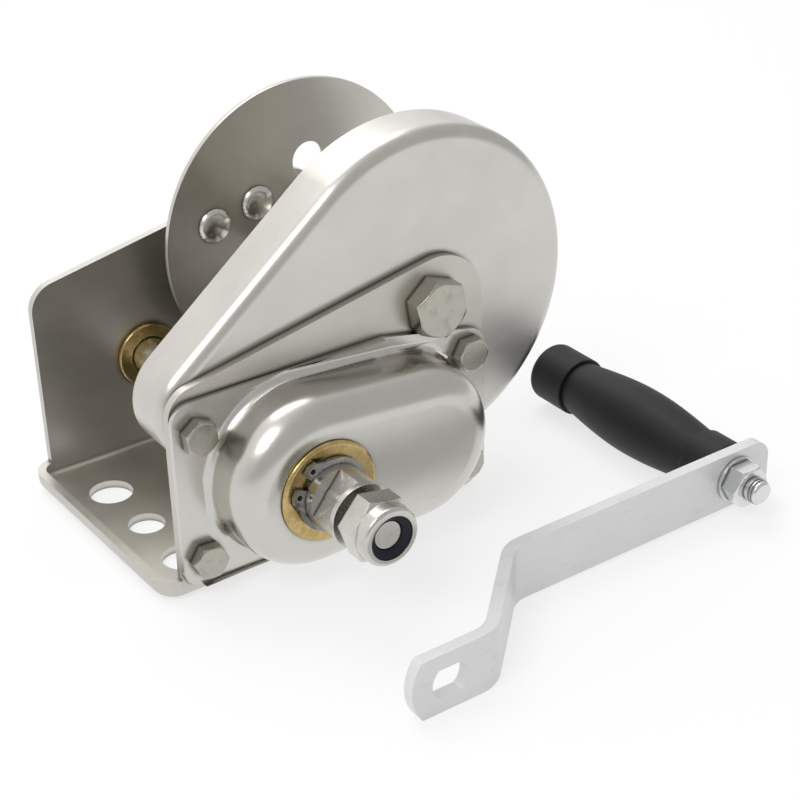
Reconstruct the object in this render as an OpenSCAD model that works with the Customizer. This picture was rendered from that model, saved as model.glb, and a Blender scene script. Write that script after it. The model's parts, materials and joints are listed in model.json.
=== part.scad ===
// Manual anchor winch with an automatic load brake, gear drive and a lift-off crank.
// X runs along the base, the drum's axle and the drive shaft lie along Y, and Z is up.
// The origin is the middle of the base's underside, and the crank side faces -Y.

/* [Frame] */
// Length of the base, end to end
base_len = 155; // [150:1:172]
// Width of the frame over its two side plates
frame_w = 115; // [112:1:130]
// Thickness of the frame's sheet
sheet_t = 3.5; // [3:0.25:4]
// Height of the turned-up lip at the brake's end of the base
lip_h = 9; // [7.5:0.5:11]
// Height of the taller lip at the drum's end of the base
right_lip_h = 14; // [11:0.5:15]
// Plan radius of the base's corners
base_corner_r = 10; // [8:0.5:12]
// Outside radius of the bend all round the base
bend_r = 6; // [5:0.5:7]
// Step from the base's left end to the side plates
step_left = 8.6; // [7:0.2:11]
// Step from the base's right end to the side plates
step_right = 3.2; // [2:0.2:5]
// Height of the side plates at their left edge
plate_left_h = 90; // [87:1:94]
// Radius of the side plates' top left corner
plate_corner_r = 12; // [8:1:14]
// Height of the side plates above the drum's axle
plate_over_axle = 18.7; // [17:0.5:22]
// Radius of the side plates' rounded top at the axle
plate_apex_r = 21.7; // [19:0.5:24]

/* [Base holes] */
// Distance from each end of the base to its row of holes
hole_inset = 21.6; // [20:0.5:26]
// Diameter of the outer base holes
outer_hole_d = 18.4; // [12:0.4:20]
// Diameter of the middle base holes
middle_hole_d = 15.4; // [10:0.4:18]
// Distance between neighbouring holes of a row
hole_pitch = 30.6; // [28:0.5:33]
// Offset of the rows from the middle of the frame
hole_row_y = -4.5; // [-6:0.5:0]

/* [Gears] */
// Tooth module of the gear pair
gear_module = 3; // [2.9:0.05:3.05]
// Teeth of the drum gear
gear_teeth = 42; // [41:1:43]
// Teeth of the pinion
pinion_teeth = 13; // [13:1:14]
// Width of the drum gear's teeth
gear_w = 8; // [6:0.5:9]
// Distance from the base's left end to the drive shaft
shaft_from_left = 58.4; // [56:0.4:61]
// Height of the drive shaft above the underside
shaft_h = 45.8; // [44:0.4:48]
// Distance from the base's left end to the drum's axle
axle_from_left = 127; // [124:0.5:129]
// Diameter of the drive shaft
shaft_d = 16; // [14:0.5:17]

/* [Drum] */
// Diameter of the drum's flanges
flange_d = 126.6; // [110:1:128]
// Thickness of the drum's flanges
flange_t = 2.5; // [2:0.25:3]
// Outside diameter of the drum's core
core_d = 32; // [31:0.5:33]
// Outside diameter of the fixed sleeve that the drum turns on
sleeve_d = 20; // [18:0.5:21]
// Gap from the far flange to the far side plate
clamp_gap = 13.9; // [13.5:0.5:18]
// Diameter of the rope's hole in the far flange
rope_hole_d = 15; // [10:0.5:15]
// Distance of the rope's hole from the drum's axis
rope_hole_at = 28.7; // [28:0.5:36]

/* [Brake cover] */
// Thickness of the brake cover's flange
cover_flange_t = 2.5; // [2:0.25:3]
// Depth of the brake cover from the side plate to its face
dome_depth = 28.4; // [28:0.2:30]
// Radius of the brake cover round the drive shaft
dome_r = 36; // [35:0.5:37]
// Radius of the brake cover's right end
dome_end_r = 33; // [32:0.5:34]
// Distance from the base's right end to the middle of the cover's right end
dome_end_from_right = 49; // [47:0.5:51]
// Wall of the brake cover
dome_wall = 2; // [1.5:0.25:2.5]
// Radius of the rounding round the cover's face
dome_round_r = 13; // [8:0.5:14]
// Height of the flange's straight top edge
cover_top_h = 83; // [82.5:0.5:84]

/* [Gear cover] */
// Wall of the gear cover
gear_cover_t = 1.5; // [1.2:0.1:2]
// Depth of the gear cover from the side plate to its open back
gear_cover_depth = 22; // [20:0.5:26]
// Radius of the rounding round the gear cover's face
gear_cover_round_r = 8; // [5:0.5:9]
// Running gap between the gears' teeth and the cover
gear_cover_gap = 3; // [2:0.5:3.5]
// Radius of the gear cover's pointed end
gear_cover_tip_r = 22; // [19:0.5:23]

/* [Brake] */
// Radius over the ratchet wheel's teeth
ratchet_r = 30; // [29:0.5:31]
// Depth of the ratchet wheel's teeth
ratchet_tooth_h = 5; // [4:0.5:6]
// Number of ratchet teeth
ratchet_teeth = 12; // [10:1:14]
// Thickness of the ratchet wheel
ratchet_t = 5; // [4.5:0.25:5.25]
// Thickness of each friction disc
friction_t = 2.2; // [2:0.1:2.4]
// Radius of the drive hub's round neck
hub_r = 12.8; // [12:0.2:13.2]
// Distance between the two flats on the drive hub
hub_flats = 15.4; // [14.6:0.2:17]
// Diameter of the crank's seat on the shaft
seat_d = 14; // [13.4:0.2:14]
// Distance between the two flats on the crank's seat
seat_flats = 12.2; // [12:0.2:12.6]
// Diameter of the shaft's threaded end
thread_d = 11.8; // [11:0.2:11.8]
// Turn of the hub's and the seat's flats from upright
hub_turn = -51; // [-90:1:90]

/* [Crank] */
// Width of the crank's bar
bar_w = 25; // [22:1:26]
// Thickness of the crank's bar
bar_t = 5; // [4:0.5:6]
// Distance from the shaft's seat to the grip's bolt
crank_len = 171; // [160:1:200]
// Sideways offset of the crank's bar
crank_offset = 37.2; // [32:0.5:42]
// Length of the grip
grip_len = 112.5; // [105:0.5:125]
// Diameter of the grip at its fullest
grip_d = 30; // [28:0.5:32]
// Diameter of the grip's bolt
grip_bolt_d = 10; // [8:0.5:10]

/* [Hidden] */

$fn = 64;
// Angle between neighbouring points of a rounded outline
arc_step = 6;
// The same on the rounded pressings
shell_step = 12;
// Clearance of a running fit, on the radius
run_gap = 0.05;
// Clearance of a bolt in its hole, on the radius
bolt_gap = 0.4;
// Length of the right end over which the base's lip is taller
lip_run = 12;

// Faces of the two side plates, front to back
near_y = -frame_w / 2;
near_in_y = near_y + sheet_t;
far_in_y = frame_w / 2 - sheet_t;
far_y = frame_w / 2;
left_x = -base_len / 2;
right_x = base_len / 2;
plate_left_x = left_x + step_left;
plate_right_x = right_x - step_right;

// Gear pair
gear_shift = 0.3;
gear_backlash = 0.2;
tooth_cut = 1.25;
pressure_angle = 20;
centre_distance = gear_module * (gear_teeth + pinion_teeth) / 2;
shaft_x = left_x + shaft_from_left;
axle_x = left_x + axle_from_left;
axle_z = shaft_h + sqrt(pow(centre_distance, 2) - pow(axle_x - shaft_x, 2));
mesh_angle = atan2(shaft_h - axle_z, shaft_x - axle_x);
gear_tip_r = gear_module * (gear_teeth / 2 + 1 - gear_shift);
pinion_tip_r = gear_module * (pinion_teeth / 2 + 1 + gear_shift);

// Side plates
foot_corner_r = 1;
apex_x = plate_right_x - plate_apex_r;
apex_z = axle_z + plate_over_axle - plate_apex_r;
plate_outline = [[plate_left_x + foot_corner_r, bend_r + foot_corner_r, foot_corner_r],
                 [plate_right_x - foot_corner_r, bend_r + foot_corner_r, foot_corner_r],
                 [apex_x, apex_z, plate_apex_r],
                 [plate_left_x + plate_corner_r, plate_left_h - plate_corner_r, plate_corner_r]];

// Threads and fasteners: diameter, width across flats, head height
axle_d = 14;
axle_flats = 22;
axle_head_h = 8.8;
axle_nut_h = 11;
cover_bolt_d = 8;
cover_bolt_flats = 13;
cover_bolt_head_h = 5.3;
nut_flats = 24;
cover_bolt_turns = [24, 4, 0, 20];
axle_head_turn = 20;
lock_nut_turn = 11;

// Gear cover
gear_cover_face_y = near_in_y;
gear_cover_back_y = near_in_y + gear_cover_depth;
gear_cover_r = max(gear_tip_r, flange_d / 2) + gear_cover_gap + gear_cover_t;
gear_cover_tip_x = plate_left_x + gear_cover_tip_r - 1;
gear_cover_tip_z = plate_left_h - 14.5;
gear_cover_outline = [[gear_cover_tip_x, gear_cover_tip_z, gear_cover_tip_r],
                      [shaft_x, shaft_h, pinion_tip_r + gear_cover_gap + gear_cover_t],
                      [axle_x, axle_z, gear_cover_r]];

// Drum gear, pinion and flanges along the axle
gear_y = near_in_y + gear_cover_t + 2.2;
near_flange_y = gear_y + gear_w;
far_flange_y = far_in_y - clamp_gap - flange_t;
pinion_y = gear_y;
pinion_w = gear_w - 0.7;
core_y = near_in_y + gear_cover_t + 0.8;
core_end_y = far_in_y - 0.8;
drum_bush_r = (core_d / 2 + sleeve_d / 2) / 2 - 0.5;
drum_bush_len = 16;
rope_hole_angle = 77;
drum_rivet_d = 8;
rivet_circle_r = 27;
rivet_head_r = 7;
rivet_head_h = 3.4;
clamp_at = [[-40.4, 10.5], [-19.4, 15.2]];
clamp_bolt_d = 8;
clamp_flats = 13;
clamp_nut_h = 6.5;
clamp_t = 5;
clamp_r = 7.4;
clamp_head_r = 7.6;
clamp_head_h = 3.6;

// Brake pack, from the side plate towards the crank
bush_flange_t = 1.8;
plate_bush_r = 11;
pack_gap = 0.1;
pressure_t = 4;
pressure_r = 26;
pressure_y = near_y - bush_flange_t - 2 * pack_gap - pressure_t;
inner_disc_y = pressure_y - pack_gap - friction_t;
ratchet_y = inner_disc_y - pack_gap - ratchet_t;
outer_disc_y = ratchet_y - pack_gap - friction_t;
hub_flange_t = 4;
hub_flange_r = 24;
hub_flange_y = outer_disc_y - pack_gap - hub_flange_t;
friction_r = 24;

// Brake cover and the pieces in its face
dome_face_y = near_y - dome_depth;
dome_end_x = right_x - dome_end_from_right;
dome_end_z = shaft_h - 1.3;
dome_outline = [[shaft_x, shaft_h, dome_r], [dome_end_x, dome_end_z, dome_end_r]];
dome_foot_r = 3.6;
cover_bush_r = 16;
cover_bush_flange_r = 20.8;
cover_bush_flange_t = 2;
cover_bush_in = 3;
clip_y = dome_face_y - cover_bush_flange_t - 1.8;
clip_t = 1.5;
clip_groove_r = hub_r - 1.1;
clip_r = hub_r + 2.4;
collar_end_y = clip_y - 4.3;
hub_end_y = collar_end_y - 12.5;
seat_from_y = hub_end_y + 5;
seat_len = 6.1;
seat_end_y = hub_end_y - seat_len;
washer_t = 2.5;
washer_r = 13.2;
nut_hex_h = 9.3;
nut_collar_h = 5.7;
nut_collar_r = 11.9;
nut_y = seat_end_y;
nut_front_y = nut_y - nut_hex_h - nut_collar_h;
nut_lip_r = 1.8;
insert_r = 9;
insert_depth = 5;
shaft_front_y = nut_front_y + 2.7;
thread_bevel = 0.4;
shaft_over = 4;
shaft_clip_y = far_y + 0.65;
shaft_clip_t = 1.3;
shaft_groove_r = shaft_d / 2 - 0.8;

// Brake cover bolts and flange
bolt_inset = 10;
cover_low_z = bend_r + 1;
cover_corner_r = 8;
ear_r = 9.6;
bolt_right_x = plate_right_x - bolt_inset + 1;
cover_bolt_at = [[plate_left_x + bolt_inset, cover_top_h - 11.3],
                 [plate_left_x + bolt_inset, cover_low_z + 10.5],
                 [bolt_right_x, axle_z - 24.7],
                 [bolt_right_x - 1.5, cover_low_z + 10.5]];

// Pawl, held in a notch of the ratchet wheel
tooth_pitch = 360 / ratchet_teeth;
notch_angle = 2;
face_lean = 4;
pawl_tip_r = 2;
pawl_tip_at = ratchet_r - 1.2;
pawl_tip_angle = notch_angle + 6.5;
pawl_tip = [shaft_x + pawl_tip_at * cos(pawl_tip_angle), shaft_h + pawl_tip_at * sin(pawl_tip_angle)];
pawl_reach = 15.5;
pawl_slant = 60;
pawl_pivot = pawl_tip + pawl_reach * [cos(pawl_tip_angle + pawl_slant), sin(pawl_tip_angle + pawl_slant)];
pawl_boss_r = 5.5;
pawl_pin_r = 3;
spring_wire_r = 0.6;
spring_r = 4.2;
spring_turns = 3;

// Crank, lying on the floor beside the winch
crank_hole_x = left_x + 51.5;
crank_clear = 114.6;
crank_seat_y = near_y - crank_clear;
crank_bar_y = crank_seat_y + crank_offset;
crank_hole_w = seat_d + 0.4;
crank_hole_flats = seat_flats + 0.2;
crank_end_r = 20;
crank_end_reach = 16.5;
crank_bend = 45;
crank_corner_r = 7;
crank_bend_from = 20;
crank_bend_r = 7;
grip_end_reach = 18;
grip_rear_y = crank_bar_y + bar_t;
grip_collar_r = grip_d / 2 - 2.2;
grip_neck_r = grip_d / 2 - 3.5;
grip_ring_r = grip_d / 2 - 2;
grip_collar_len = 14.5;
grip_head_h = 6;
grip_bolt_over = 5.2;
grip_bolt_bevel = 0.9;
cap_len = 21;
cap_round_r = 2.6;
cap_end_t = 4;
cap_bore_bevel = 1;
grip_flats = 16;
grip_nut_h = 8;
grip_washer_t = 1.6;
grip_washer_r = 9.8;
floor_gap = 0.1;
bar_lift = grip_d / 2 + floor_gap - bar_w / 2;
crank_rest_in = 4;
crank_rest_x = crank_hole_x - crank_end_reach + crank_rest_in;
crank_tilt = asin(bar_lift / (crank_hole_x + crank_len - crank_rest_x));

// Places of the rivets, the rope clamp's bolts, the rope's hole and the grip's bolt
drum_rivet_at = [for (a = [45:90:315])
                     [axle_x + rivet_circle_r * cos(a), axle_z + rivet_circle_r * sin(a)]];
clamp_points = [for (p = clamp_at) [axle_x + p.x, axle_z + p.y]];
rope_hole_point = [axle_x + rope_hole_at * cos(rope_hole_angle),
                   axle_z + rope_hole_at * sin(rope_hole_angle)];
grip_at = [crank_hole_x + crank_len, bar_w / 2];
grip_head_y = grip_rear_y + grip_len - cap_len + 0.4;

// Angle of the outward normal of the line that touches two circles, going round anticlockwise
function tangent_angle(a, b) =
    atan2(b.y - a.y, b.x - a.x) - 90 + asin((a.z - b.z) / norm([b.x - a.x, b.y - a.y]));

// Outline of a belt laid round circles [x, y, radius], drawn in by an inset
function belt(circles, inset = 0, step = arc_step) =
    [for (i = [0:len(circles) - 1])
        let (count = len(circles),
             here = circles[i],
             from = tangent_angle(circles[(i + count - 1) % count], here),
             sweep = (tangent_angle(here, circles[(i + 1) % count]) - from + 720) % 360,
             steps = ceil(sweep / step))
        for (k = [0:steps])
            [here.x + (here.z - inset) * cos(from + sweep * k / steps),
             here.y + (here.z - inset) * sin(from + sweep * k / steps)]];

// Points of an arc, drawn from one angle to another
function arc(centre, r, from, to, step = arc_step) =
    let (steps = ceil(abs(to - from) / step))
    [for (k = [0:steps])
        let (a = from + (to - from) * k / steps)
        [centre.x + r * cos(a), centre.y + r * sin(a)]];

// Half of a tooth's angular width at a radius
function tooth_half_angle(teeth, shift, r) =
    let (base_r = gear_module * teeth / 2 * cos(pressure_angle),
         a = r > base_r ? acos(base_r / r) : 0,
         spread = (tan(pressure_angle) - tan(a)) * 180 / PI - pressure_angle + a)
    90 / teeth + 2 * shift * tan(pressure_angle) * 180 / PI / teeth + spread
    - gear_backlash * 90 / PI / (gear_module * teeth / 2);

// Outline of a spur gear with one tooth pointing at an angle
function gear_outline(teeth, shift, angle) =
    let (root_r = gear_module * (teeth / 2 - tooth_cut + shift),
         tip_r = gear_module * (teeth / 2 + 1 + shift),
         radii = [for (k = [0:4]) root_r + (tip_r - root_r) * k / 4])
    [for (i = [0:teeth - 1], side = [-1, 1], k = [0:4])
        let (r = radii[side < 0 ? k : 4 - k],
             a = angle + 360 * i / teeth + side * tooth_half_angle(teeth, shift, r))
        [r * cos(a), r * sin(a)]];

// Outline of the ratchet wheel's saw teeth
function ratchet_outline() =
    [for (i = [0:ratchet_teeth - 1], edge = [0, 1])
        let (a = notch_angle + tooth_pitch * i + edge * face_lean,
             r = ratchet_r - edge * ratchet_tooth_h)
        [r * cos(a), r * sin(a)]];

// Extrudes an outline drawn in X and Z from one Y to a larger one
module slab(from_y, to_y) {
    translate([0, to_y, 0])
        rotate([90, 0, 0])
            linear_extrude(to_y - from_y) children();
}

// Round bar along Y
module rod(at, r, from_y, to_y) {
    translate([at.x, to_y, at.y])
        rotate([90, 0, 0])
            cylinder(r = r, h = to_y - from_y);
}

// Hexagonal bar along Y
module hex_rod(at, flats, from_y, to_y, turn = 0) {
    translate([at.x, to_y, at.y])
        rotate([90, turn, 0])
            cylinder(d = flats / cos(30), h = to_y - from_y, $fn = 6);
}

// Hexagonal head or nut with its free face chamfered
module hex_head(at, flats, from_y, to_y, turn = 0, front = true) {
    depth = flats * 0.06;
    intersection() {
        hex_rod(at, flats, from_y, to_y, turn);
        translate([at.x, 0, at.y])
            rotate([90, 0, 0])
                rotate_extrude()
                    polygon(front
                        ? [[0, -to_y], [flats, -to_y], [flats, -from_y - depth - (flats * 0.53) * 0.5],
                           [flats * 0.47, -from_y], [0, -from_y]]
                        : [[0, -from_y], [flats, -from_y], [flats, -to_y + depth + (flats * 0.53) * 0.5],
                           [flats * 0.47, -to_y], [0, -to_y]]);
    }
}

// Ring or stepped turning along Y, drawn as [radius, y] pairs
module turned(at, profile) {
    translate([at.x, 0, at.y])
        rotate([90, 0, 0])
            rotate_extrude()
                polygon([for (p = profile) [p.x, -p.y]]);
}

// Convex pressing in sheet: its outline, with one rounded face, from an open edge up to that face
module pressing(outline, round_r, inset, from_z, to_z) {
    hull()
        for (turn = [0:30:90])
            translate([0, 0, from_z])
                linear_extrude(to_z - round_r * (1 - sin(turn)) - from_z)
                    polygon(belt(outline, inset + round_r * (1 - cos(turn)), shell_step));
}

// Flare at the foot of a pressing, where its wall runs out into a flange
module flare(outline, round_r, from_z) {
    for (turn = [0:30:60])
        hull()
            for (a = [turn, turn + 30])
                translate([0, 0, from_z - 1])
                    linear_extrude(1 + round_r * (1 - cos(a)))
                        polygon(belt(outline, round_r * (sin(a) - 1), shell_step));
}

// Half section of the tray: a floor with a bent-up wall at one side
module tray_section(reach, inset, floor_z, round_r, top_z) {
    width = reach - inset;
    translate([0, floor_z + round_r]) square([width, top_z - floor_z - round_r]);
    translate([0, floor_z]) square([width - round_r, top_z - floor_z]);
    translate([width - round_r, floor_z + round_r]) circle(r = round_r);
}

// Rounded tray that the base is drawn into
module tray(inset, floor_z, round_r, top_z) {
    corner_x = base_len / 2 - base_corner_r;
    corner_y = frame_w / 2 - base_corner_r;
    for (side = [0, 180]) {
        rotate([90, 0, side])
            translate([0, 0, -corner_y])
                linear_extrude(2 * corner_y)
                    tray_section(base_len / 2, inset, floor_z, round_r, top_z);
        rotate([90, 0, side + 90])
            translate([0, 0, -corner_x])
                linear_extrude(2 * corner_x)
                    tray_section(frame_w / 2, inset, floor_z, round_r, top_z);
    }
    for (x = [-corner_x, corner_x], y = [-corner_y, corner_y])
        translate([x, y, 0])
            rotate_extrude()
                intersection() {
                    tray_section(base_corner_r, inset, floor_z, round_r, top_z);
                    square([base_corner_r, top_z]);
                }
}

// One side plate above the bend
module side_plate(from_y, to_y) {
    slab(from_y, to_y) polygon(belt(plate_outline));
}

// Folded frame: a tray-shaped base and two side plates in one sheet
module frame() color("gainsboro") difference() {
    union() {
        difference() {
            tray(0, 0, bend_r, right_lip_h);
            tray(sheet_t, sheet_t, bend_r - sheet_t, right_lip_h + 1);
            translate([left_x - 1, -frame_w, lip_h])
                cube([base_len - lip_run, 2 * frame_w, right_lip_h]);
        }
        side_plate(near_y, near_in_y);
        side_plate(far_in_y, far_y);
    }
    for (side = [-1, 1], row = [-1, 0, 1])
        translate([side * (base_len / 2 - hole_inset), hole_row_y + row * hole_pitch, -1])
            cylinder(d = row == 0 ? middle_hole_d : outer_hole_d, h = sheet_t + 2);
    rod([axle_x, axle_z], axle_d / 2 + run_gap, near_y - 1, far_y + 1);
    rod([shaft_x, shaft_h], plate_bush_r + run_gap, near_y - 1, near_in_y + 1);
    rod([shaft_x, shaft_h], plate_bush_r + run_gap, far_in_y - 1, far_y + 1);
    for (at = cover_bolt_at)
        rod(at, cover_bolt_d / 2 + run_gap, near_y - 1, near_in_y + 1);
    rod(pawl_pivot, pawl_pin_r + run_gap, near_y - 1, near_in_y + 1);
}

// Teardrop pressing over the gears, with its face against the near side plate
module gear_cover() color("silver") difference() {
    rotate([90, 0, 0])
        difference() {
            pressing(gear_cover_outline, gear_cover_round_r, 0, -gear_cover_back_y, -gear_cover_face_y);
            pressing(gear_cover_outline, gear_cover_round_r - gear_cover_t, gear_cover_t,
                     -gear_cover_back_y - 1, -gear_cover_face_y - gear_cover_t);
        }
    rod([axle_x, axle_z], axle_d / 2 + run_gap, near_y, near_in_y + gear_cover_t + 1);
    rod([shaft_x, shaft_h], plate_bush_r + run_gap, near_y, near_in_y + gear_cover_t + 1);
    rod(pawl_pivot, pawl_pin_r + bolt_gap, near_y, near_in_y + gear_cover_t + 1);
    for (at = cover_bolt_at)
        rod(at, cover_bolt_d / 2 + bolt_gap, near_y, near_in_y + gear_cover_t + 1);
}

// Flat flange of the brake cover, with an ear round its upper right bolt
module cover_flange_outline() {
    low = cover_low_z + cover_corner_r;
    polygon(belt([[plate_left_x + cover_corner_r, low, cover_corner_r],
                  [plate_right_x - cover_corner_r, low, cover_corner_r],
                  [plate_right_x - ear_r, cover_bolt_at[2].y, ear_r],
                  [dome_end_x - 4, cover_top_h - cover_corner_r, cover_corner_r],
                  [plate_left_x + cover_corner_r, cover_top_h - cover_corner_r, cover_corner_r]]));
}

// Domed brake cover, pressed from one sheet
module brake_cover() color("lightgray") difference() {
    union() {
        slab(near_y - cover_flange_t, near_y) cover_flange_outline();
        rotate([90, 0, 0]) {
            pressing(dome_outline, dome_round_r, 0, -near_y, -dome_face_y);
            flare(dome_outline, dome_foot_r, cover_flange_t - near_y);
        }
    }
    rotate([90, 0, 0])
        pressing(dome_outline, dome_round_r - dome_wall, dome_wall, -near_y - 1, -dome_face_y - dome_wall);
    rod([shaft_x, shaft_h], cover_bush_r + run_gap, dome_face_y - 1, dome_face_y + dome_wall + 1);
    for (at = cover_bolt_at)
        rod(at, cover_bolt_d / 2 + bolt_gap, near_y - cover_flange_t - 1, near_y + 1);
}

// Four hexagon bolts that hold the brake cover and the gear cover to the side plate
module cover_bolts() color("silver")
    for (i = [0:len(cover_bolt_at) - 1]) {
        at = cover_bolt_at[i];
        head_y = near_y - cover_flange_t;
        hex_head(at, cover_bolt_flats, head_y - cover_bolt_head_h, head_y, cover_bolt_turns[i]);
        rod(at, cover_bolt_d / 2, head_y - 1, near_in_y + gear_cover_t);
    }

// Long hexagon bolt through both side plates and the drum
module axle_bolt() color("silver") {
    hex_head([axle_x, axle_z], axle_flats, near_y - axle_head_h, near_y, axle_head_turn);
    rod([axle_x, axle_z], axle_d / 2, near_y - 1, far_y + axle_nut_h + 3);
}

// Nut on the far end of the axle bolt
module axle_nut() color("silver") difference() {
    hex_head([axle_x, axle_z], axle_flats, far_y, far_y + axle_nut_h, 12, false);
    rod([axle_x, axle_z], axle_d / 2 + run_gap, far_y - 1, far_y + axle_nut_h + 1);
}

// Fixed sleeve between the side plates, clamped by the axle bolt
module axle_sleeve() color("gray") difference() {
    rod([axle_x, axle_z], sleeve_d / 2, near_in_y + gear_cover_t, far_in_y);
    rod([axle_x, axle_z], axle_d / 2 + run_gap, near_in_y, far_in_y + 1);
}

// Bronze bush with a flange, its bore running on a shaft
module flanged_bush(bore_r, body_r, flange_r, body_from, body_to, flange_from, flange_to) {
    color("goldenrod") difference() {
        union() {
            rod([shaft_x, shaft_h], body_r, body_from, body_to);
            rod([shaft_x, shaft_h], flange_r, flange_from, flange_to);
        }
        rod([shaft_x, shaft_h], bore_r, min(body_from, flange_from) - 1, max(body_to, flange_to) + 1);
    }
}

module far_bush()
    flanged_bush(shaft_d / 2 + run_gap, plate_bush_r, 14, far_in_y - 1, far_y, far_in_y - 2.5, far_in_y);

module plate_bush()
    flanged_bush(shaft_d / 2 + run_gap, plate_bush_r, 14, near_y - 1, near_in_y + gear_cover_t,
                 near_y - bush_flange_t, near_y);

// Bronze bush in the brake cover's face, with a stepped flange
module cover_bush() color("goldenrod")
    turned([shaft_x, shaft_h],
           [[hub_r + run_gap, dome_face_y + dome_wall + cover_bush_in],
            [cover_bush_r, dome_face_y + dome_wall + cover_bush_in],
            [cover_bush_r, dome_face_y],
            [cover_bush_flange_r, dome_face_y],
            [cover_bush_flange_r, dome_face_y - cover_bush_flange_t * 0.5],
            [cover_bush_flange_r - 1.6, dome_face_y - cover_bush_flange_t],
            [hub_r + run_gap, dome_face_y - cover_bush_flange_t]]);

// Pin that the pawl turns on, fixed in the side plate
module pawl_pin() color("gray") difference() {
    union() {
        rod(pawl_pivot, pawl_pin_r, ratchet_y - 3, near_in_y + gear_cover_t);
        rod(pawl_pivot, pawl_pin_r + 2.5, near_y - 4, near_y);
    }
    turned(pawl_pivot, [[pawl_pin_r - 0.6, ratchet_y - 0.5], [pawl_pin_r + 1, ratchet_y - 0.5],
                        [pawl_pin_r + 1, ratchet_y - 1.5], [pawl_pin_r - 0.6, ratchet_y - 1.5]]);
}

// Ring in the pin's groove that keeps the pawl on
module pawl_clip() color("dimgray") difference() {
    turned(pawl_pivot, [[pawl_pin_r - 0.55, ratchet_y - 0.55], [pawl_pin_r + 2, ratchet_y - 0.55],
                        [pawl_pin_r + 2, ratchet_y - 1.45], [pawl_pin_r - 0.55, ratchet_y - 1.45]]);
    translate([pawl_pivot.x, ratchet_y - 2, pawl_pivot.y - pawl_pin_r])
        cube([2 * pawl_pin_r + 4, 2, 2 * pawl_pin_r]);
}

// Coiled spring round the pin, with one leg against the cover's wall
module pawl_spring() color("dimgray") {
    first_y = near_y - 4 - spring_wire_r - 0.1;
    pitch = spring_wire_r * 1.7;
    wall_x = dome_end_x + sqrt(pow(dome_end_r - dome_wall, 2) - pow(pawl_pivot.y + spring_r - dome_end_z, 2));
    translate([pawl_pivot.x, 0, pawl_pivot.y])
        rotate([90, 0, 0])
            rotate_extrude()
                for (turn = [0:spring_turns - 1])
                    translate([spring_r, turn * pitch - first_y]) circle(r = spring_wire_r);
    translate([pawl_pivot.x, first_y, pawl_pivot.y + spring_r])
        rotate([0, 90, 0])
            cylinder(r = spring_wire_r * 0.9, h = wall_x - pawl_pivot.x - 2 * spring_wire_r);
}

// Gear riveted to the drum's near flange
module drum_gear() color("gray") difference() {
    translate([axle_x, 0, axle_z])
        slab(gear_y, gear_y + gear_w)
            polygon(gear_outline(gear_teeth, -gear_shift, mesh_angle + 180 / gear_teeth));
    rod([axle_x, axle_z], core_d / 2 + run_gap, gear_y - 1, gear_y + gear_w + 1);
    for (at = drum_rivet_at)
        rod(at, drum_rivet_d / 2 + run_gap, gear_y - 1, gear_y + gear_w + 1);
}

module near_flange() color("gainsboro") difference() {
    rod([axle_x, axle_z], flange_d / 2, near_flange_y, near_flange_y + flange_t);
    rod([axle_x, axle_z], core_d / 2 + run_gap, near_flange_y - 1, near_flange_y + flange_t + 1);
    for (at = drum_rivet_at)
        rod(at, drum_rivet_d / 2 + run_gap, near_flange_y - 1, near_flange_y + flange_t + 1);
}

module far_flange() color("gainsboro") difference() {
    rod([axle_x, axle_z], flange_d / 2, far_flange_y, far_flange_y + flange_t);
    rod([axle_x, axle_z], core_d / 2 + run_gap, far_flange_y - 1, far_flange_y + flange_t + 1);
    rod(rope_hole_point, rope_hole_d / 2, far_flange_y - 1, far_flange_y + flange_t + 1);
    for (at = clamp_points)
        rod(at, clamp_bolt_d / 2 + run_gap, far_flange_y - 1, far_flange_y + flange_t + 1);
}

module drum_core() color("gainsboro") difference() {
    rod([axle_x, axle_z], core_d / 2, core_y, core_end_y);
    rod([axle_x, axle_z], drum_bush_r + run_gap, core_y - 1, core_end_y + 1);
}

// Rivets through the gear and the near flange, with domed heads towards the rope
module drum_rivets() color("silver")
    for (at = drum_rivet_at) {
        head_y = near_flange_y + flange_t;
        turned(at, concat([[0, gear_y], [drum_rivet_d / 2, gear_y], [drum_rivet_d / 2, head_y]],
                          [for (a = [0:15:75]) [rivet_head_r * cos(a), head_y + rivet_head_h * sin(a)]],
                          [[0, head_y + rivet_head_h]]));
    }

// Bronze bushes at the two ends of the drum's core
module drum_bushes() color("goldenrod")
    for (from_y = [core_y, core_end_y - drum_bush_len])
        difference() {
            rod([axle_x, axle_z], drum_bush_r, from_y, from_y + drum_bush_len);
            rod([axle_x, axle_z], sleeve_d / 2 + run_gap, from_y - 1, from_y + drum_bush_len + 1);
        }

// Plate that clamps the rope's end against the outside of the far flange
module rope_clamp() color("silver") difference() {
    slab(far_flange_y + flange_t, far_flange_y + flange_t + clamp_t)
        polygon(belt([for (at = clamp_points) [at.x, at.y, clamp_r]]));
    for (at = clamp_points)
        rod(at, clamp_bolt_d / 2 + run_gap, far_flange_y, far_in_y);
}

// Round-headed bolts of the rope clamp
module clamp_bolts() color("silver")
    for (at = clamp_points) {
        end_y = far_flange_y + flange_t + clamp_t + clamp_nut_h + 1.2;
        turned(at, concat([[0, end_y], [clamp_bolt_d / 2, end_y], [clamp_bolt_d / 2, far_flange_y]],
                          [for (a = [0:15:75])
                              [clamp_head_r * cos(a), far_flange_y - clamp_head_h * sin(a)]],
                          [[0, far_flange_y - clamp_head_h]]));
    }

module clamp_nuts() color("silver")
    for (at = clamp_points) {
        from_y = far_flange_y + flange_t + clamp_t;
        difference() {
            hex_rod(at, clamp_flats, from_y, from_y + clamp_nut_h, 10);
            rod(at, clamp_bolt_d / 2 + run_gap, from_y - 1, from_y + clamp_nut_h + 1);
        }
    }

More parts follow.
